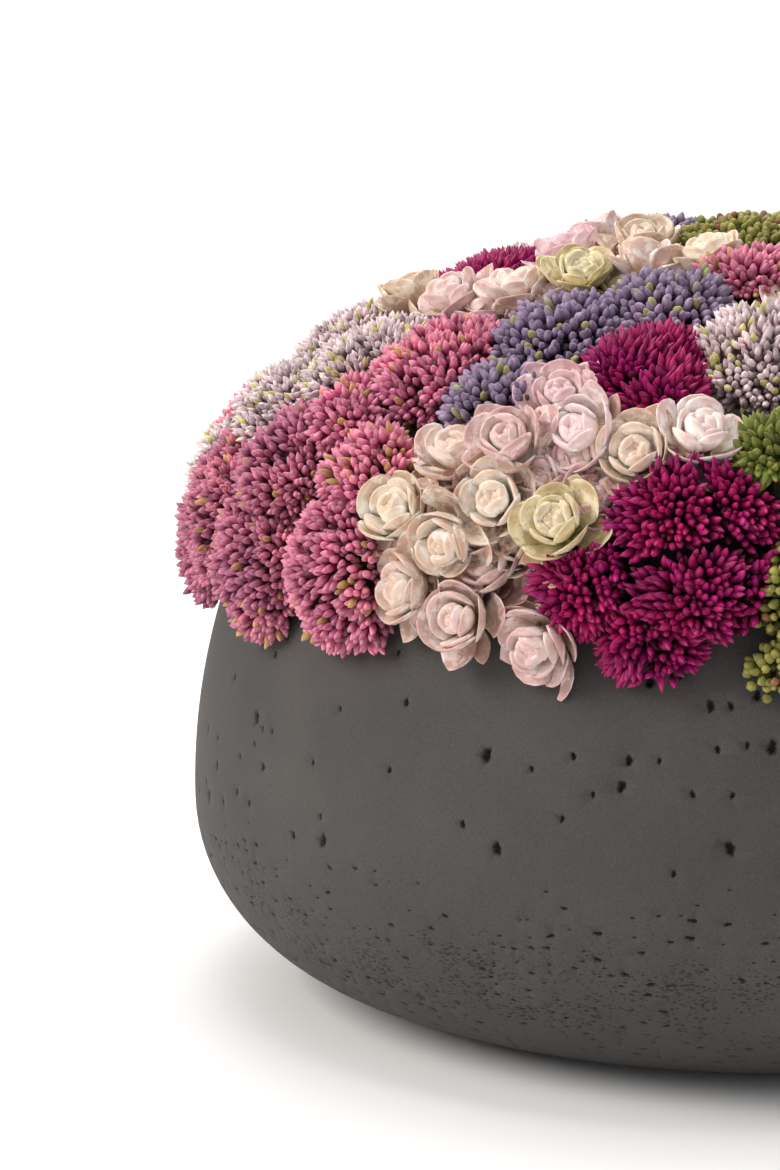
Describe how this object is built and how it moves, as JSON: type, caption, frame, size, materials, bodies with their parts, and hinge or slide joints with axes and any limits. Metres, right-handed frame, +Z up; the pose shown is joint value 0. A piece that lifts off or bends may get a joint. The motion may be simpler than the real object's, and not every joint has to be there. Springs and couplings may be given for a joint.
{
  "type": "planter box",
  "caption": "Round squat cast planter bowl on rubber pads, with a drain plug and a lift-out insert of crowded artificial sedum heads and rosettes.",
  "frame": {"origin": "on the floor plane, under the middle of the bowl", "axes": "+Z up along the bowl's axis; the front of the arrangement faces -Y, and +X is to its right"},
  "size_m": [0.4554, 0.455, 0.2923],
  "materials": {
    "cast_bowl": "matte cast fibre cement, warm dark grey, with air pores",
    "black_rubber": "matte moulded rubber",
    "liner_plastic": "satin black thermoformed polypropylene",
    "foam": "dry green florist foam, matte",
    "moss": "dried flat moss, matte",
    "pink_buds": "soft matte moulded buds, salmon pink",
    "mauve_buds": "soft matte moulded buds, mauve pink",
    "lavender_buds": "soft matte moulded buds, grey lavender",
    "burgundy_buds": "soft satin moulded buds, deep burgundy",
    "lilac_buds": "soft matte moulded buds, pale lilac with white tips",
    "green_buds": "soft matte moulded buds, olive green with brown tips",
    "rosette_petals": "soft matte petals, cream and blush with greenish edges"
  },
  "bodies": {
    "bowl": {"bowl": "cast_bowl", "foot_pads": "black_rubber"},
    "drain_plug": {"drain_plug": "black_rubber"},
    "insert": {"liner": "liner_plastic", "foam_core": "foam", "moss_cover": "moss", "near_lilac_sedum_left": "lilac_buds", "near_pink_sedum_high": "pink_buds", "near_mauve_sedum_left": "mauve_buds", "near_pink_sedum_left": "pink_buds", "near_lavender_sedum_low": "lavender_buds", "near_lavender_sedum_high": "lavender_buds", "near_burgundy_sedum_high": "burgundy_buds", "near_burgundy_sedum_front": "burgundy_buds", "near_burgundy_sedum_low": "burgundy_buds", "near_lilac_sedum_front": "lilac_buds", "near_green_sedum_pointed": "green_buds", "near_green_sedum_round": "green_buds", "near_green_sedum_top": "green_buds", "near_pink_sedum_top": "pink_buds", "near_burgundy_sedum_back": "burgundy_buds", "near_rosettes_front": "rosette_petals", "near_rosettes_low": "rosette_petals", "near_rosettes_upper": "rosette_petals", "near_rosettes_back": "rosette_petals", "near_rosettes_top": "rosette_petals", "near_mauve_sedum_behind": "mauve_buds", "near_green_sedum_behind": "green_buds", "near_burgundy_sedum_behind": "burgundy_buds", "near_lilac_sedum_behind": "lilac_buds", "near_pink_sedum_behind": "pink_buds", "near_lavender_sedum_behind": "lavender_buds", "near_rosettes_behind": "rosette_petals", "far_lilac_sedum_left": "lilac_buds", "far_pink_sedum_high": "pink_buds", "far_mauve_sedum_left": "mauve_buds", "far_pink_sedum_left": "pink_buds", "far_lavender_sedum_low": "lavender_buds", "far_lavender_sedum_high": "lavender_buds", "far_burgundy_sedum_high": "burgundy_buds", "far_burgundy_sedum_front": "burgundy_buds", "far_burgundy_sedum_low": "burgundy_buds", "far_lilac_sedum_front": "lilac_buds", "far_green_sedum_pointed": "green_buds", "far_green_sedum_round": "green_buds", "far_green_sedum_top": "green_buds", "far_pink_sedum_top": "pink_buds", "far_burgundy_sedum_back": "burgundy_buds", "far_rosettes_front": "rosette_petals", "far_rosettes_low": "rosette_petals", "far_rosettes_upper": "rosette_petals", "far_rosettes_back": "rosette_petals", "far_rosettes_top": "rosette_petals", "far_mauve_sedum_behind": "mauve_buds", "far_green_sedum_behind": "green_buds", "far_burgundy_sedum_behind": "burgundy_buds", "far_lilac_sedum_behind": "lilac_buds", "far_pink_sedum_behind": "pink_buds", "far_lavender_sedum_behind": "lavender_buds", "far_rosettes_behind": "rosette_petals"}
  },
  "joints": [
    {"name": "insert_lift", "type": "slide", "parent": "bowl", "child": "insert", "axis": [0, 0, 1], "range_m": [0, 0.2]},
    {"name": "plug_pull", "type": "slide", "parent": "bowl", "child": "drain_plug", "axis": [0, 0, -1], "range_m": [0, 0.03]}
  ]
}
